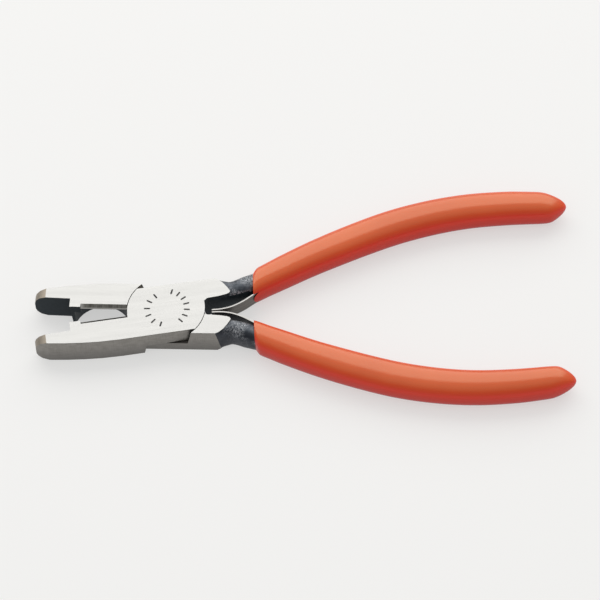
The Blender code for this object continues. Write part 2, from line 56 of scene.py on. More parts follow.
# ---------------------------------------------------------------- node helpers
class Shader:
    """A Principled material with short calls for its procedural parts.

    Its coordinates are the closed tool's: side turns them back from the rest pose.
    """

    def __init__(self, name, colour, roughness, metallic=0.0, specular=0.5, side=0):
        self.material = bpy.data.materials.new(name)
        self.material.use_nodes = True
        self.tree = self.material.node_tree
        self.bsdf = self.tree.nodes["Principled BSDF"]
        self.bsdf.inputs["Base Color"].default_value = (*colour, 1.0)
        self.bsdf.inputs["Roughness"].default_value = roughness
        self.bsdf.inputs["Metallic"].default_value = metallic
        self.bsdf.inputs["Specular IOR Level"].default_value = specular
        turn = self.node("ShaderNodeMapping")
        turn.inputs["Rotation"].default_value = (0, 0, math.radians(-side * HALF_OPENING))
        self.link(self.tree.nodes.new("ShaderNodeTexCoord").outputs["Object"], turn.inputs["Vector"])
        self.place = turn.outputs["Vector"]

    def node(self, kind, **settings):
        made = self.tree.nodes.new(kind)
        for key, value in settings.items():
            setattr(made, key, value)
        return made

    def link(self, source, target):
        self.tree.links.new(source, target)

    def noise(self, stretch, detail=3.0, rough=0.55):
        """Noise over the object's own metres: stretch is how many cells per millimetre each way."""
        mapping = self.node("ShaderNodeMapping")
        mapping.inputs["Scale"].default_value = [each / MM for each in stretch]
        self.link(self.place, mapping.inputs["Vector"])
        texture = self.node("ShaderNodeTexNoise")
        texture.inputs["Scale"].default_value = 1.0
        texture.inputs["Detail"].default_value = detail
        texture.inputs["Roughness"].default_value = rough
        self.link(mapping.outputs["Vector"], texture.inputs["Vector"])
        return texture.outputs["Fac"]

    def spread(self, value, low, high, to_low=0.0, to_high=1.0):
        ranged = self.node("ShaderNodeMapRange")
        settings = (low, high, to_low, to_high)
        for key, each in zip(("From Min", "From Max", "To Min", "To Max"), settings):
            ranged.inputs[key].default_value = each
        self.link(value, ranged.inputs["Value"])
        return ranged.outputs["Result"]

    def combine(self, operation, *values):
        """A Math node on one or two values, each a number or another node's output."""
        made = self.node("ShaderNodeMath", operation=operation)
        for socket, each in zip(made.inputs, values):
            if isinstance(each, (int, float)):
                socket.default_value = each
            else:
                self.link(each, socket)
        return made.outputs[0]

    def blend(self, first, second, share):
        """Two values added, the first with this share of the whole."""
        return self.combine("ADD", self.combine("MULTIPLY", first, share),
                            self.combine("MULTIPLY", second, 1 - share))

    def mix(self, factor, first, second):
        """A colour between two, each a colour or another node's output."""
        made = self.node("ShaderNodeMix", data_type="RGBA")
        self.link(factor, made.inputs["Factor"])
        for socket, each in ((made.inputs["A"], first), (made.inputs["B"], second)):
            if isinstance(each, tuple):
                socket.default_value = (*each, 1.0)
            else:
                self.link(each, socket)
        return made.outputs["Result"]

    def axis(self, letter):
        made = self.node("ShaderNodeSeparateXYZ")
        self.link(self.place, made.inputs["Vector"])
        return made.outputs[letter]

    def normal(self, letter):
        geometry = self.node("ShaderNodeNewGeometry")
        turned = self.node("ShaderNodeVectorTransform", vector_type="NORMAL",
                           convert_from="WORLD", convert_to="OBJECT")
        self.link(geometry.outputs["Normal"], turned.inputs["Vector"])
        made = self.node("ShaderNodeSeparateXYZ")
        self.link(turned.outputs["Vector"], made.inputs["Vector"])
        return made.outputs[letter]

    def colour(self, output):
        self.link(output, self.bsdf.inputs["Base Color"])

    def roughness(self, output):
        self.link(output, self.bsdf.inputs["Roughness"])

    def bump(self, output, depth, strength=1.0):
        made = self.node("ShaderNodeBump")
        made.inputs["Distance"].default_value = depth * MM
        made.inputs["Strength"].default_value = strength
        self.link(output, made.inputs["Height"])
        self.link(made.outputs["Normal"], self.bsdf.inputs["Normal"])


# How many cells a broad scratch has for each cell of a fine one.
BROAD_SCRATCH = 0.22


def ground_material(name, side, colour, roughness, stretch, contrast, depth):
    """Ground steel: scratches along one direction in its colour, roughness and bump."""
    made = Shader(name, colour, roughness, metallic=1.0, side=side)
    fine = made.noise(stretch, detail=4.0)
    broad = made.noise([each * BROAD_SCRATCH for each in stretch], detail=2.0)
    both = made.blend(fine, broad, 0.6)
    darker = tuple(each * (1 - contrast) for each in colour)
    lighter = tuple(each * (1 + contrast) for each in colour)
    made.colour(made.mix(made.spread(both, *NOISE_MIDDLE), darker, lighter))
    made.roughness(made.spread(fine, *NOISE_WIDE, roughness - 0.05, roughness + 0.08))
    made.bump(fine, depth)
    return made.material


def make_materials(letter):
    """The looks of one lever and its leaf, with their grain along that lever."""
    side = SIDES[letter]
    made = {}
    made["face"] = ground_material("ground_face_" + letter, side, (0.455, 0.458, 0.455), 0.33,
                                   (0.10, 2.6, 2.6), 0.055, 0.004)
    made["side"] = side_material(letter)
    made["tip"] = ground_material("ground_tip_" + letter, side, (0.275, 0.243, 0.203), 0.36,
                                  (0.5, 2.0, 0.5), 0.12, 0.006)
    made["edge"] = edge_material(letter)
    made["black"] = black_material(letter)
    made["forged"] = forged_material(letter)
    made["leaf"] = leaf_material(letter)
    made["vinyl"] = vinyl_material(letter)
    return made


# Heights on the ground sides: below the first they darken with painted shade, between the others lies a
# painted dark line of shade along the top edge.
SIDE_SHADE_TOP = 5.5
SIDE_SHADE_LINE_START = 8.1
SIDE_SHADE_LINE_FULL = 8.3


def side_material(letter):
    """Ground sides: darker than the faces, with grinding lines across the tool's thickness, painted
    shade towards the bottom and a painted dark line of shade along the top edge.
    """
    made = Shader("ground_side_" + letter, (0.26, 0.245, 0.225), 0.38, metallic=1.0,
                  side=SIDES[letter])
    line = made.noise((4.5, 4.5, 0.3), detail=4.0)
    cloud = made.noise((0.5, 0.5, 1.1), detail=4.0)
    both = made.blend(line, cloud, 0.5)
    steel = made.mix(made.spread(both, *NOISE_MIDDLE), (0.215, 0.203, 0.187), (0.305, 0.291, 0.272))
    height = made.axis("Z")
    # Painted shade: darker towards the table, and a dark line just under the top edge.
    low = made.spread(height, 0.0, SIDE_SHADE_TOP * MM, 0.72, 0.0)
    rim = made.spread(height, SIDE_SHADE_LINE_START * MM, SIDE_SHADE_LINE_FULL * MM, 0.0, 0.7)
    steel = made.mix(low, steel, (0.15, 0.145, 0.14))
    made.colour(made.mix(rim, steel, (0.09, 0.083, 0.075)))
    made.roughness(made.spread(line, *NOISE_WIDE, 0.33, 0.46))
    made.bump(line, 0.006)
    return made.material


# The painted highlights on the cutter's bevel, a line along the edge and one at its front end, fade out
# between these heights and these places along x.
GLINT_LINE_LOW = 7.52
GLINT_LINE_HIGH = 7.78
GLINT_FRONT_START = -24.4
GLINT_FRONT_END = -23.5


def edge_material(letter):
    """The cutter's bevel: dark honed metal with a painted highlight along the edge itself and at its
    front end.
    """
    made = Shader("cutter_bevel_" + letter, (0.17, 0.165, 0.15), 0.35, metallic=1.0,
                  side=SIDES[letter])
    streak = made.noise((1.6, 0.3, 0.3), detail=3.0)
    body = made.mix(made.spread(streak, *NOISE_MIDDLE), (0.13, 0.125, 0.112), (0.24, 0.235, 0.215))
    # Painted highlight: a bright line along the bevel's lower edge and at its front end.
    low = made.spread(made.axis("Z"), GLINT_LINE_LOW * MM, GLINT_LINE_HIGH * MM, 1.0, 0.0)
    front = made.spread(made.axis("X"), GLINT_FRONT_START * MM, GLINT_FRONT_END * MM, 1.0, 0.0)
    painted_glint = made.combine("MAXIMUM", low, made.combine("MULTIPLY", front, 0.75))
    made.colour(made.mix(painted_glint, body, (0.62, 0.61, 0.58)))
    made.roughness(made.spread(streak, *NOISE_WIDE, 0.28, 0.42))
    made.bump(streak, 0.004)
    return made.material


def black_material(letter):
    """Blackened steel inside the mouth, and near-black painted shade on the neck's inner wall: nearly
    even, with a faint grain.
    """
    made = Shader("blackened_steel_and_shade_" + letter, (0.024, 0.03, 0.034), 0.46, metallic=0.3,
                  specular=0.22, side=SIDES[letter])
    grain = made.noise((1.2, 1.2, 1.2), detail=5.0)
    made.colour(made.mix(made.spread(grain, 0.35, 0.7), (0.015, 0.022, 0.028), (0.028, 0.038, 0.045)))
    made.roughness(made.spread(grain, *NOISE_WIDE, 0.40, 0.58))
    made.bump(grain, 0.02)
    return made.material


# Along x, the pale specks on a neck, part wear and part painted highlight, grow from none to all
# between these two.
RUB_AND_GLINT_START = 16.5
RUB_AND_GLINT_FULL = 20.0


def forged_material(letter):
    """Blue-black forging scale, mottled, with painted shade where it faces down and outwards, and fine
    pale scratches and specks, part wear and part painted highlight on the upward faces.
    """
    made = Shader("forge_black_" + letter, (0.05, 0.06, 0.075), 0.40, metallic=0.5,
                  specular=0.3, side=SIDES[letter])
    mottle = made.noise((0.45, 0.45, 0.45), detail=4.0)
    patch = made.noise((0.22, 0.30, 0.30), detail=2.0)
    speck = made.noise((2.2, 2.2, 2.2), detail=5.0, rough=0.75)
    scratch = made.noise((6.5, 1.5, 1.5), detail=4.0, rough=0.7)
    base = made.mix(made.spread(mottle, *NOISE_MIDDLE), (0.034, 0.041, 0.052), (0.098, 0.110, 0.130))
    pale = made.combine("MAXIMUM", made.spread(speck, 0.51, 0.64), made.spread(scratch, 0.51, 0.63))
    upward = made.normal("Z")
    # The pale specks and scratches are part wear and part painted highlight: they are kept to the
    # upward faces, where light catches them.
    rub_and_glint = made.combine("MULTIPLY", pale, made.spread(patch, 0.36, 0.52))
    rub_and_glint = made.combine("MULTIPLY", rub_and_glint, made.spread(upward, 0.0, 0.45, 0.15, 1.0))
    middle = made.spread(made.axis("X"), RUB_AND_GLINT_START * MM, RUB_AND_GLINT_FULL * MM)
    # Painted shade: the base darkens where the neck faces down and where it faces outwards.
    outward = made.combine("MULTIPLY", made.normal("Y"), SIDES[letter])
    shade = made.combine("MAXIMUM", made.spread(upward, 0.0, 0.4, 0.75, 0.0),
                         made.spread(outward, 0.1, 0.6, 0.0, 0.75))
    base = made.mix(shade, base, (0.018, 0.020, 0.027))
    made.colour(made.mix(made.combine("MULTIPLY", rub_and_glint, middle), base, (0.52, 0.54, 0.57)))
    made.roughness(made.spread(speck, *NOISE_WIDE, 0.32, 0.54))
    made.bump(speck, 0.06, 0.8)
    return made.material


def leaf_material(letter):
    """Rolled spring strip: grey towards the other leaf, painted shade behind, bright sheared edges."""
    made = Shader("spring_strip_" + letter, (0.16, 0.15, 0.14), 0.34, metallic=1.0)
    lines = made.noise((0.1, 0.1, 2.6), detail=3.0)
    flat = made.mix(made.spread(lines, *NOISE_MIDDLE), (0.12, 0.113, 0.104), (0.17, 0.162, 0.15))
    # Painted shade: the face turned towards the leaf's own tang, which shades it, is painted nearly
    # black.
    back = made.spread(made.combine("MULTIPLY", made.normal("Y"), SIDES[letter]), 0.1, 0.4)
    flat = made.mix(back, flat, (0.03, 0.03, 0.032))
    edge = made.combine("ABSOLUTE", made.normal("Z"))
    made.colour(made.mix(made.spread(edge, 0.55, 0.8), flat, (0.43, 0.425, 0.415)))
    made.roughness(made.spread(lines, *NOISE_WIDE, 0.3, 0.42))
    made.bump(lines, 0.004)
    return made.material


def vinyl_material(letter):
    """Dipped vinyl: orange red and glossy on top, duller round the sides; its colour holds painted
    shade, redder round the sides and dark underneath.
    """
    made = Shader("dipped_vinyl_" + letter, (0.60, 0.085, 0.032), 0.2, specular=0.72,
                  side=SIDES[letter])
    cloud = made.noise((0.06, 0.06, 0.06), detail=2.0)
    peel = made.noise((0.5, 0.5, 0.5), detail=2.0)
    fine = made.noise((3.0, 3.0, 3.0), detail=3.0)
    skin = made.mix(made.spread(cloud, *NOISE_WIDE), (0.67, 0.086, 0.018), (0.72, 0.102, 0.022))
    upward = made.normal("Z")
    # Painted shade: the colour turns redder and darker as the surface turns away from the top, and dark
    # underneath.
    painted_shade_flank = made.mix(made.spread(upward, 0.4, 0.92, 1.0, 0.0), skin, (0.74, 0.052, 0.034))
    made.colour(made.mix(made.spread(upward, -0.4, 0.3, 0.9, 0.0), painted_shade_flank, (0.34, 0.015, 0.020)))
    gloss = made.spread(upward, 0.75, 0.95, 0.22, 0.9)
    made.link(gloss, made.bsdf.inputs["Specular IOR Level"])
    made.bsdf.inputs["Specular Tint"].default_value = (1.0, 0.97, 0.72, 1.0)
    made.roughness(made.spread(fine, *NOISE_WIDE, 0.15, 0.24))
    made.bump(made.combine("ADD", peel, made.combine("MULTIPLY", fine, 0.15)), 0.015, 0.4)
    return made.material


def mark_material():
    """Etched black: dull and a little patchy."""
    made = Shader("etched_mark", (0.035, 0.033, 0.033), 0.6, metallic=0.2, side=1)
    grain = made.noise((4.0, 4.0, 4.0), detail=3.0)
    made.colour(made.mix(made.spread(grain, 0.4, 0.75), (0.02, 0.02, 0.021), (0.075, 0.07, 0.068)))
    made.bump(grain, 0.01)
    return made.material


# ---------------------------------------------------------------- mesh helpers
# In metres: how close points are welded in a CAD copy and in a new shape.
CAD_WELD = 2e-7
FINE_WELD = 1e-7
# Degrees between facets that count as one flat face.
FLAT_ANGLE = 0.4


def rest_turn(side):
    return Matrix.Rotation(math.radians(side * HALF_OPENING), 4, "Z")


def add_piece(name, shape, turn=None):
    """Link a shape as an object; turn moves its points, so the object itself stays unturned."""
    if turn is not None:
        bmesh.ops.transform(shape, matrix=turn, verts=shape.verts)
    mesh = bpy.data.meshes.new(name)
    shape.to_mesh(mesh)
    shape.free()
    piece = bpy.data.objects.new(name, mesh)
    bpy.context.scene.collection.objects.link(piece)
    return piece


def copy_shape(node, matrix=None):
    """A welded copy of a CAD node, its flat facets joined, moved by matrix."""
    shape = bmesh.new()
    shape.from_mesh(NODES[node].data)
    bmesh.ops.remove_doubles(shape, verts=shape.verts, dist=CAD_WELD)
    if matrix is not None:
        bmesh.ops.transform(shape, matrix=matrix, verts=shape.verts)
    bmesh.ops.dissolve_limit(shape, angle_limit=math.radians(FLAT_ANGLE), verts=shape.verts,
                             edges=shape.edges)
    shape.normal_update()
    return shape


def smooth_by_angle(shape, degrees):
    limit = math.radians(degrees)
    for face in shape.faces:
        face.smooth = True
    for edge in shape.edges:
        edge.smooth = len(edge.link_faces) == 2 and edge.calc_face_angle(0.0) < limit


# ---------------------------------------------------------------- levers
ZONES = ("face", "side", "tip", "edge", "black", "forged")
# Borders of a lever's surfaces, in the closed tool's frame. JAW_EDGE_Z is where the cutter's bevel
# starts, and the half joint's rim is a cone that widens by RIM_SLOPE downwards from the top face.
TIP_CREASE_X = -35.1
CRIMP_BACK_X = -27.9
CUTTER_FRONT_X = -24.75
JAW_EDGE_Z = 7.4
RELIEF_END_X = -11.0
RELIEF_OUTER_Y = -7.0
CUTTER_END_X = -10.0
JOINT_RADIUS = 11.14
RIM_SLOPE = 0.16
RIM_TOLERANCE = 0.45
LAP_HEIGHT = 3.2
LAP_TOLERANCE = 0.5
LAP_REACH = 14.0
THROAT_START_X = 5.0
THROAT_INNER_Y = 1.0
# The ground shoulder ends along a slanted plane: x at the top face, and how far it leans back.
SHOULDER_END_X = 14.7
SHOULDER_LEAN = 0.17
NECK_END_X = 30.0
LEVEL_NORMAL = 0.98
FACE_TOLERANCE = 0.02
# Limits on a face's normal: the neck's inner wall, painted near black as shade, the rim's ends and the
# tip's slope.
NECK_INNER_NORMAL = -0.88
RIM_NORMAL = 0.35
TIP_NORMAL = 0.2
WALL_NORMAL = 0.3
RELIEF_NORMAL = 0.5
# Worn edges: width, shortest edge, sharpest fold left alone, and the land kept round the bore.
WORN_EDGE = 0.10
WORN_EDGE_SHORTEST = 0.25
WORN_EDGE_ANGLE = 30
BORE_LAND = 0.5
SHADING_ANGLE = 32


def lever_zone(face, side):
    """Which surface of the forging a face belongs to, in the closed tool's frame."""
    centre = face.calc_center_median() / MM
    normal = face.normal
    x = centre.x
    out = side * centre.y
    facing = side * normal.y
    level = abs(normal.z) > LEVEL_NORMAL
    if level and min(centre.z, THICKNESS - centre.z) < FACE_TOLERANCE:
        return "face"
    if x > SHOULDER_END_X + (THICKNESS - centre.z) * SHOULDER_LEAN:
        # The neck's inner wall takes the near-black steel as painted shade.
        return "black" if facing < NECK_INNER_NORMAL and x < NECK_END_X else "forged"
    rim = JOINT_RADIUS + RIM_SLOPE * (THICKNESS - centre.z)
    on_rim = abs(centre.to_2d().length - rim) < RIM_TOLERANCE
    if on_rim and not level and abs(normal.x) > RIM_NORMAL:
        return "black"
    if x < TIP_CREASE_X and normal.x < -TIP_NORMAL:
        return "tip" if normal.z > TIP_NORMAL else "side"
    if level:
        in_lap = abs(centre.z - LAP_HEIGHT) < LAP_TOLERANCE and centre.to_2d().length < LAP_REACH
        return "side" if in_lap else "black"
    if x < CUTTER_END_X and facing > WALL_NORMAL:
        if centre.z > JAW_EDGE_Z and normal.z > WALL_NORMAL and x > CUTTER_FRONT_X:
            return "edge"
        return "black"
    in_relief = CRIMP_BACK_X < x < RELIEF_END_X and out > RELIEF_OUTER_Y
    if in_relief and normal.z < RELIEF_NORMAL:
        return "black"
    if x > THROAT_START_X and out > THROAT_INNER_Y and facing < -WALL_NORMAL:
        return "black"
    return "side"


def cut_along(shape, point, normal):
    """Split the faces that cross a plane, without removing anything."""
    bmesh.ops.bisect_plane(shape, geom=shape.verts[:] + shape.edges[:] + shape.faces[:],
                           plane_co=Vector(point) * MM, plane_no=normal, dist=FINE_WELD)


def make_lever(letter, materials):
    """A lever's forging: its faces sorted into zones and its ground edges slightly worn."""
    side = SIDES[letter]
    shape = copy_shape("lever_" + letter, rest_turn(side).inverted())
    cut_along(shape, (SHOULDER_END_X, 0, THICKNESS), (1.0, 0.0, SHOULDER_LEAN))
    shape.normal_update()
    for face in shape.faces:
        face.material_index = ZONES.index(lever_zone(face, side))
    weights = shape.edges.layers.float.new("bevel_weight_edge")
    for edge in shape.edges:
        edge[weights] = 1.0 if takes_bevel(edge) else 0.0
    smooth_by_angle(shape, SHADING_ANGLE)
    for edge in shape.edges:
        if len({face.material_index for face in edge.link_faces}) > 1:
            edge.smooth = False
    lever = add_piece("forging_" + letter, shape, rest_turn(side))
    for zone in ZONES:
        lever.data.materials.append(materials[zone])
    bevel = lever.modifiers.new("worn_edges", "BEVEL")
    bevel.limit_method = "WEIGHT"
    bevel.width = WORN_EDGE * MM
    bevel.segments = 2
    bevel.use_clamp_overlap = True
    flatten_shading(lever)
    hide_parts("lever_" + letter)
    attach(lever, "lever_" + letter + "_body")


def flatten_shading(piece):
    """Let the large faces rule the shading, so that bevels round the edges only."""
    weighted = piece.modifiers.new("flat_faces", "WEIGHTED_NORMAL")
    weighted.mode = "FACE_AREA"
    weighted.weight = 100
    weighted.keep_sharp = True


def takes_bevel(edge):
    """Outer edges of the ground metal, away from the cutting edge, the bore and the forging."""
    if len(edge.link_faces) != 2 or edge.calc_length() < WORN_EDGE_SHORTEST * MM:
        return False
    zones = {ZONES[face.material_index] for face in edge.link_faces}
    if "forged" in zones or "edge" in zones:
        return False
    if not edge.is_convex or edge.calc_face_angle(0.0) < math.radians(WORN_EDGE_ANGLE):
        return False
    middle = (edge.verts[0].co + edge.verts[1].co) / 2 / MM
    return middle.to_2d().length > BORE_RADIUS + BORE_LAND


# ---------------------------------------------------------------- rivets and springs
SHANK_RADIUS = 3.2
FLARE_HEIGHT = 1.2
FLARE_LAND = 0.05
LOW_GAP = 0.09
LOW_CHAMFER = 0.04
ROOT_SHANK_RADIUS = 0.8
ROOT_HEAD_RADIUS = 1.1
ROOT_DEPTH = 2.4
# Heights above the leaf's middle: the head's top, its rim's two edges, and where the cone under
# the head meets the shank.
ROOT_TOP = 0.54
ROOT_RIM_TOP = 0.5
ROOT_RIM_LOW = 0.48
ROOT_UNDER = 0.3
LEAF_THICKNESS = 0.4
LEAF_START = Vector((23.8, 3.97))
LEAF_HINGE = Vector((29.2, 7.75))
LEAF_TAIL = Vector((30.8, 8.58))
LEAF_OFFSET = -0.3
LEAF_EDGE = 0.06


def make_pivot(materials):
    """The pivot rivet, ground flush: it fills its bore in the top half joint without a gap."""
    low_radius = BORE_RADIUS - LOW_GAP
    profile = [(0, THICKNESS), (BORE_RADIUS, THICKNESS), (BORE_RADIUS, THICKNESS - FLARE_LAND),
               (SHANK_RADIUS, THICKNESS - FLARE_HEIGHT), (SHANK_RADIUS, FLARE_HEIGHT),
               (low_radius, LOW_CHAMFER), (low_radius - LOW_CHAMFER, 0), (0, 0)]
    rivet = add_piece("flush_rivet", turned_shape(profile, 96), rest_turn(1))
    rivet.data.materials.append(materials["face"])
    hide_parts("pivot_rivet")
    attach(rivet, "lever_a_body")


def turned_shape(profile, steps):
    """A solid of revolution about Z from (radius, height) points that start and end on its axis."""
    shape = bmesh.new()
    verts = [shape.verts.new(Vector((radius, 0, height)) * MM) for radius, height in profile]
    edges = [shape.edges.new(pair) for pair in zip(verts, verts[1:])]
    bmesh.ops.spin(shape, geom=verts + edges, cent=(0, 0, 0), axis=(0, 0, 1),
                   angle=2 * math.pi, steps=steps, use_merge=True)
    bmesh.ops.remove_doubles(shape, verts=shape.verts, dist=FINE_WELD)
    bmesh.ops.recalc_face_normals(shape, faces=shape.faces)
    smooth_by_angle(shape, 20)
    return shape


def make_root_rivet(letter, materials):
    """The leaf's root rivet, its head coned underneath so that the leaf can flex past it."""
    side = SIDES[letter]
    along = (LEAF_HINGE - LEAF_START).normalized()
    across = Vector((along.y, -side * along.x, 0))
    ahead = Vector((along.x, side * along.y, 0))
    columns = Matrix((ahead, across.cross(ahead), across)).transposed().to_4x4()
    place = Vector((LEAF_HINGE.x, side * LEAF_HINGE.y + LEAF_OFFSET, MIDDLE)) * MM
    profile = [(0, ROOT_TOP), (ROOT_HEAD_RADIUS * 0.7, ROOT_TOP - 0.01),
               (ROOT_HEAD_RADIUS - 0.04, ROOT_RIM_TOP), (ROOT_HEAD_RADIUS, ROOT_RIM_LOW),
               (ROOT_SHANK_RADIUS, ROOT_UNDER), (ROOT_SHANK_RADIUS, -ROOT_DEPTH), (0, -ROOT_DEPTH)]
    rivet = add_piece("root_rivet_" + letter, turned_shape(profile, 48),
                      Matrix.Translation(place) @ columns)
    rivet.data.materials.append(materials["face"])
    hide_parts("spring_rivet_" + letter)
    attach(rivet, "lever_" + letter + "_body")


def make_leaf(letter, materials):
    """A leaf spring with its sheared edges rounded off."""
    shape = copy_shape("leaf_spring_" + letter)
    smooth_by_angle(shape, 40)
    leaf = add_piece("spring_strip_" + letter, shape)
    leaf.data.materials.append(materials["leaf"])
    bevel = leaf.modifiers.new("sheared_edges", "BEVEL")
    bevel.width = LEAF_EDGE * MM
    bevel.segments = 2
    bevel.limit_method = "ANGLE"
    bevel.angle_limit = math.radians(50)
    flatten_shading(leaf)
    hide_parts("leaf_spring_" + letter)
    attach(leaf, "leaf_" + letter + "_body")


# ---------------------------------------------------------------- grips
GRIP_MOUTH_X = 25.8
GRIP_TIP_X = 118.2
# The tip's taper on its outer and its inner side: length and power.
GRIP_TIP_OUTER = (7.0, 0.5)
GRIP_TIP_INNER = (4.6, 0.6)
TIP_SOFTNESS = 0.03
GRIP_LIP_LENGTH = 1.7
GRIP_LIP_DEPTH = 0.22
GRIP_STEPS = 120
TIP_STEPS = 28
WALL_STEPS = 23
GRIP_COUNT = 96
# The mouth's rim, from the wall outwards: share of the way across it, and how far in it lies.
RIM_RINGS = ((0.0, 0.12), (0.15, 0.02), (0.5, -0.03), (0.82, -0.01))
LIP_RINGS = (0.04, 0.15, 0.35, 0.6, 0.9, 1.3)
MOUTH_LEAN = 0.12
MOUTH_LEAN_LENGTH = 9.0
SECTION_POWER = 2.6
WALL_END_X = 104.3
WALL_GAP = 0.01
SLOT_GAP = 0.12
SLOT_MOUTH_ROOM = 0.12
SLOT_TAIL_ROOM = 0.15
SLOT_TAIL_REACH = 0.4
SLOT_DEPTH = 2.4
SLOT_HALF_HEIGHT = 2.24
GRIP_LINE = [(23.4, 5.2), (26.0, 6.3), (30.0, 8.0), (45.7, 13.9), (64.4, 19.35), (76.7, 21.5),
             (88.8, 22.2), (100.8, 21.4), (112.0, 19.75), (119.0, 18.9)]
GRIP_HALF_WIDTH = [(25.0, 4.25), (40.0, 4.65), (52.0, 4.95), (70.0, 5.08), (90.0, 4.92),
                   (102.0, 4.75), (108.0, 4.55), (119.0, 4.3)]
TANG_LINE = [(21.2, 5.2), (23.4, 5.9), (26.0, 6.7), (30.0, 8.1), (45.7, 13.9), (64.4, 19.35),
             (76.7, 21.5), (88.8, 22.2), (100.8, 21.4), (104.0, 21.05)]
TANG_HALF_WIDTH = [(21.2, 2.78), (23.4, 2.95), (26.0, 2.85), (30.0, 2.65), (45.7, 2.5), (64.4, 2.4),
                   (76.7, 2.3), (88.8, 2.2), (100.8, 1.9), (104.0, 1.4)]
TANG_HALF_HEIGHT = [(21.2, 3.85), (23.4, 3.75), (26.0, 3.55), (30.0, 3.3), (45.7, 3.0), (64.4, 2.8),
                    (76.7, 2.7), (88.8, 2.5), (100.8, 2.2), (104.0, 1.7)]


def smooth_value(points, x):
    """A smooth curve through (x, value) points, by cubic pieces with averaged slopes."""
    left = max([index for index in range(len(points) - 1) if points[index][0] <= x] or [0])
    slopes = []
    for index in (left, left + 1):
        before = points[max(index - 1, 0)]
        after = points[min(index + 1, len(points) - 1)]
        slopes.append((after[1] - before[1]) / (after[0] - before[0]))
    (x0, v0), (x1, v1) = points[left], points[left + 1]
    span = x1 - x0
    t = (x - x0) / span
    return ((2 * t**3 - 3 * t**2 + 1) * v0 + (3 * t**2 - 2 * t**3) * v1
            + (t**3 - 2 * t**2 + t) * span * slopes[0] + (t**3 - t**2) * span * slopes[1])


def unit_section():
    """A rounded square's outline, from -1 to 1 each way, in GRIP_COUNT points."""
    ring = []
    for index in range(GRIP_COUNT):
        angle = 2 * math.pi * (index + 0.5) / GRIP_COUNT
        across = math.copysign(abs(math.cos(angle)) ** (2 / SECTION_POWER), math.cos(angle))
        up = math.copysign(abs(math.sin(angle)) ** (2 / SECTION_POWER), math.sin(angle))
        ring.append((across, up))
    return ring


def section_ring(shape, line, x, sizes, side, section, shift=0.0):
    """One ring of points round the handle's line at x, leaning across the tool near the mouth."""
    reach = 0.5
    rise = smooth_value(line, x + reach) - smooth_value(line, x - reach)
    along = Vector((2 * reach, rise)).normalized()
    square = Vector((-along.y, along.x))
    skewed = Vector((MOUTH_LEAN, 1.0)) / along.x
    axis = square.lerp(skewed, max(0.0, min(1.0, 1.0 - (x - GRIP_MOUTH_X) / MOUTH_LEAN_LENGTH)))
    half_width, half_height = sizes
    ring = []
    for across, up in section:
        offset = axis * (across * half_width + shift)
        place = (x + offset.x, side * (smooth_value(line, x) + offset.y), MIDDLE + up * half_height)
        ring.append(shape.verts.new(Vector(place) * MM))
    return ring


def soft_limit(value):
    """The value where it is small, levelling off softly just under 1 where it is large."""
    return (1 + value - math.sqrt((1 - value) ** 2 + TIP_SOFTNESS * value)) / 2


def grip_outer(x):
    """Half sizes of the sleeve's outside at x, and how far its middle moves outwards."""
    to_tip = max(0.0, GRIP_TIP_X - x)
    outer, inner = (soft_limit(to_tip / length) ** power
                    for length, power in (GRIP_TIP_OUTER, GRIP_TIP_INNER))
    outer *= 1.0 - GRIP_LIP_DEPTH * max(0.0, 1.0 - (x - GRIP_MOUTH_X) / GRIP_LIP_LENGTH) ** 2
    width = smooth_value(GRIP_HALF_WIDTH, x)
    mean = (outer + inner) / 2
    return (width * mean, MIDDLE * mean), width * (outer - inner) / 2


def tang_outside(x):
    """Half sizes of the sleeve's wall round the tang at x."""
    place = min(x, TANG_HALF_WIDTH[-1][0] - 0.1)
    return tuple(smooth_value(sizes, place) + WALL_GAP for sizes in (TANG_HALF_WIDTH, TANG_HALF_HEIGHT))


def make_grip(letter, materials):
    """A dipped sleeve: the wall against the tang, the mouth's rim, then the outside to the tip."""
    side = SIDES[letter]
    section = unit_section()
    shape = bmesh.new()
    rings = []
    for index in range(WALL_STEPS + 1):
        x = WALL_END_X + (GRIP_MOUTH_X + 0.5 - WALL_END_X) * index / WALL_STEPS
        rings.append(section_ring(shape, TANG_LINE, x, tang_outside(x), side, section))
    (width, height), shift = grip_outer(GRIP_MOUTH_X)
    hole = tang_outside(GRIP_MOUTH_X)
    offset = smooth_value(TANG_LINE, GRIP_MOUTH_X) - smooth_value(GRIP_LINE, GRIP_MOUTH_X)
    for share, back in RIM_RINGS:
        sizes = (hole[0] + (width - hole[0]) * share, hole[1] + (height - hole[1]) * share)
        rings.append(section_ring(shape, GRIP_LINE, GRIP_MOUTH_X + back, sizes, side, section,
                                  offset + (shift - offset) * share))
    stations = [GRIP_MOUTH_X + each for each in LIP_RINGS]
    last = GRIP_TIP_X - GRIP_TIP_OUTER[0]
    first = GRIP_MOUTH_X + GRIP_LIP_LENGTH
    stations += [first + (last - first) * index / GRIP_STEPS for index in range(GRIP_STEPS + 1)]
    stations += [GRIP_TIP_X - GRIP_TIP_OUTER[0] * (1 - index / TIP_STEPS) ** 2
                 for index in range(1, TIP_STEPS)]
    for x in stations:
        sizes, shift = grip_outer(x)
        rings.append(section_ring(shape, GRIP_LINE, x, sizes, side, section, shift))
    for ring, following in zip(rings, rings[1:]):
        for index in range(GRIP_COUNT):
            after = (index + 1) % GRIP_COUNT
            shape.faces.new((ring[index], ring[after], following[after], following[index]))
    shape.faces.new(rings[0])
    shape.faces.new(rings[-1])
    bmesh.ops.recalc_face_normals(shape, faces=shape.faces)
    smooth_by_angle(shape, 50)
    grip = add_piece("dipped_grip_" + letter, shape, rest_turn(side))
    grip.data.materials.append(materials["vinyl"])
    cut_leaf_slot(grip, letter)
    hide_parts("grip_" + letter)
    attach(grip, "lever_" + letter + "_body")


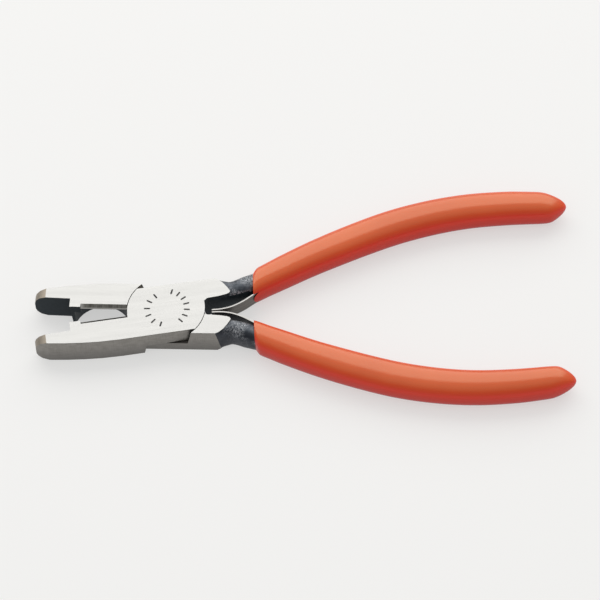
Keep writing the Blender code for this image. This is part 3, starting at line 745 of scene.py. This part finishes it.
def cut_leaf_slot(grip, letter):
    """The slot beside the tang that the leaf spring's root lies in, drawn in the rest pose."""
    side = SIDES[letter]
    half = LEAF_THICKNESS / 2 + SLOT_GAP
    end = LEAF_TAIL + (LEAF_TAIL - LEAF_HINGE).normalized() * SLOT_TAIL_REACH
    first = (LEAF_HINGE - LEAF_START).normalized()
    second = (LEAF_TAIL - LEAF_HINGE).normalized()
    outline = []
    for point, along, distance in ((LEAF_START, first, half + SLOT_MOUTH_ROOM),
                                   (LEAF_HINGE, first + second, half),
                                   (end, second, half + SLOT_TAIL_ROOM),
                                   (end, second, -SLOT_DEPTH),
                                   (LEAF_START, first, -SLOT_DEPTH)):
        normal = Vector((along.y, -along.x)).normalized()
        outline.append(point + normal * distance)
    shape = bmesh.new()
    loops = []
    for height in (MIDDLE - SLOT_HALF_HEIGHT, MIDDLE + SLOT_HALF_HEIGHT):
        loops.append([shape.verts.new(Vector((point.x, side * point.y + LEAF_OFFSET, height)) * MM)
                      for point in outline])
    for index in range(len(outline)):
        after = (index + 1) % len(outline)
        shape.faces.new((loops[0][index], loops[0][after], loops[1][after], loops[1][index]))
    shape.faces.new(loops[0])
    shape.faces.new(loops[1])
    bmesh.ops.recalc_face_normals(shape, faces=shape.faces)
    cutter = add_piece("slot_cutter_" + letter, shape)
    change = grip.modifiers.new("leaf_slot", "BOOLEAN")
    change.object = cutter
    change.operation = "DIFFERENCE"
    change.solver = "EXACT"
    bake_modifiers(grip)
    bpy.data.objects.remove(cutter, do_unlink=True)


def bake_modifiers(piece):
    """Put the modifiers' result in the mesh, so that what they need can go."""
    bpy.context.view_layer.update()
    evaluated = piece.evaluated_get(bpy.context.evaluated_depsgraph_get())
    mesh = bpy.data.meshes.new_from_object(evaluated)
    piece.modifiers.clear()
    piece.data = mesh


# ---------------------------------------------------------------- joint marks
# Two arcs of ticks: radius, first angle, step and count.
TICK_ARCS = ((5.45, 118, 26, 6), (6.0, -52, 20, 7))
TICK_LENGTH = 1.8
TICK_WIDTH = 0.5
TICK_PROUD = 0.012
TICK_DEPTH = 0.05
TICK_END_STEPS = 6


def make_marks():
    """Plain etched ticks round the joint, where the real tool is stamped."""
    shape = bmesh.new()
    for radius, first, step, count in TICK_ARCS:
        for index in range(count):
            turn = Matrix.Rotation(math.radians(first + step * index), 4, "Z")
            add_tick(shape, turn @ Matrix.Translation(Vector((radius, 0, THICKNESS)) * MM))
    marks = add_piece("joint_ticks", shape, rest_turn(1))
    marks.data.materials.append(mark_material())
    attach(marks, "lever_a_body")


def add_tick(shape, place):
    """A flat bar with rounded ends, sunk into the face with only its top proud."""
    outline = []
    radius = TICK_WIDTH / 2
    for end, start in ((TICK_LENGTH / 2 - radius, -90), (radius - TICK_LENGTH / 2, 90)):
        for step in range(TICK_END_STEPS + 1):
            angle = math.radians(start + 180 * step / TICK_END_STEPS)
            outline.append((end + radius * math.cos(angle), radius * math.sin(angle)))
    low, high = ([shape.verts.new(place @ (Vector((x, y, height)) * MM)) for x, y in outline]
                 for height in (-TICK_DEPTH, TICK_PROUD))
    for index in range(len(outline)):
        after = (index + 1) % len(outline)
        shape.faces.new((low[index], low[after], high[after], high[index]))
    shape.faces.new(low[::-1])
    shape.faces.new(high)


# ---------------------------------------------------------------- stage
FLOOR_SIZE = 6.0
FLOOR_DROP = 0.02
FLOOR_GLOW = 0.54
LIGHT_AIM = Vector((30.0, 0, 0))
# The world's strength on the camera's side and behind the tool, and the directions' y for each.
WORLD_NEAR = 0.46
WORLD_FAR = 0.75
WORLD_NEAR_Y = -0.9
WORLD_FAR_Y = 0.7
CAMERA_AIM = Vector((38.22, 3.15, 4.2))
CAMERA_DISTANCE = 1.8
CAMERA_LENS = 376.96
CAMERA_SENSOR = 36.0
# Degrees: turn about the vertical, tilt off the vertical, and roll.
CAMERA_TURN = -4.3176
CAMERA_TILT = 35.0
CAMERA_ROLL = 6.9515


def make_floor():
    """A softly lit white table: part of its light comes through it, so shadows stay faint."""
    bpy.ops.mesh.primitive_plane_add(size=FLOOR_SIZE, location=(0, 0, -FLOOR_DROP * MM))
    floor = bpy.context.object
    floor.name = "floor"
    made = Shader("pale_floor", (0.38, 0.38, 0.378), 0.9, specular=0.0)
    made.bsdf.inputs["Emission Color"].default_value = (1.0, 0.998, 0.99, 1.0)
    made.bsdf.inputs["Emission Strength"].default_value = FLOOR_GLOW
    floor.data.materials.append(made.material)


def make_light(name, azimuth, elevation, distance, width, height, radiance):
    """A softbox that faces the tool; azimuth 0 is the camera's side, +Y is 180."""
    a, e = math.radians(azimuth), math.radians(elevation)
    back = Vector((math.sin(a) * math.cos(e), -math.cos(a) * math.cos(e), math.sin(e)))
    data = bpy.data.lights.new(name, "AREA")
    data.shape = "RECTANGLE"
    data.size = width
    data.size_y = height
    data.energy = radiance * math.pi * width * height
    data.color = (1.0, 0.975, 0.93)
    light = bpy.data.objects.new(name, data)
    light.location = LIGHT_AIM * MM + back * distance
    light.rotation_mode = "QUATERNION"
    light.rotation_quaternion = (-back).to_track_quat("-Z", "Y")
    bpy.context.scene.collection.objects.link(light)


def make_world():
    """Soft surroundings: paler overhead and behind the tool, dimmer on the camera's side."""
    world = bpy.data.worlds.new("studio")
    bpy.context.scene.world = world
    world.use_nodes = True
    tree = world.node_tree
    background = tree.nodes["Background"]
    background.inputs["Color"].default_value = (1.0, 0.995, 0.985, 1.0)
    place = tree.nodes.new("ShaderNodeTexCoord")
    split = tree.nodes.new("ShaderNodeSeparateXYZ")
    ranged = tree.nodes.new("ShaderNodeMapRange")
    ranged.inputs["From Min"].default_value = WORLD_NEAR_Y
    ranged.inputs["From Max"].default_value = WORLD_FAR_Y
    ranged.inputs["To Min"].default_value = WORLD_NEAR
    ranged.inputs["To Max"].default_value = WORLD_FAR
    tree.links.new(place.outputs["Generated"], split.inputs["Vector"])
    tree.links.new(split.outputs["Y"], ranged.inputs["Value"])
    tree.links.new(ranged.outputs["Result"], background.inputs["Strength"])


def make_camera():
    """The photograph's view: 55 degrees above the table, nearly square to the tool."""
    turn, tilt, roll = (math.radians(each) for each in (CAMERA_TURN, CAMERA_TILT, CAMERA_ROLL))
    right = Vector((math.cos(turn), -math.sin(turn), 0))
    flat_back = Vector((-math.sin(turn), -math.cos(turn), 0))
    back = flat_back * math.sin(tilt) + Vector((0, 0, math.cos(tilt)))
    up = back.cross(right)
    rolled_right = right * math.cos(roll) - up * math.sin(roll)
    rolled_up = right * math.sin(roll) + up * math.cos(roll)
    place = CAMERA_AIM * MM + back * CAMERA_DISTANCE
    data = bpy.data.cameras.new("camera")
    data.lens = CAMERA_LENS
    data.sensor_width = CAMERA_SENSOR
    camera = bpy.data.objects.new("camera", data)
    columns = Matrix((rolled_right, rolled_up, back)).transposed().to_4x4()
    camera.matrix_world = Matrix.Translation(place) @ columns
    bpy.context.scene.collection.objects.link(camera)
    bpy.context.scene.camera = camera


def main():
    bpy.context.scene.view_settings.view_transform = "Standard"
    for letter in SIDES:
        materials = make_materials(letter)
        make_lever(letter, materials)
        make_leaf(letter, materials)
        make_grip(letter, materials)
        make_root_rivet(letter, materials)
        if letter == "a":
            make_pivot(materials)
    make_marks()
    make_floor()
    make_light("key", azimuth=180, elevation=41.5, distance=1.0, width=2.0, height=0.9,
               radiance=1.45)
    make_world()
    make_camera()


main()
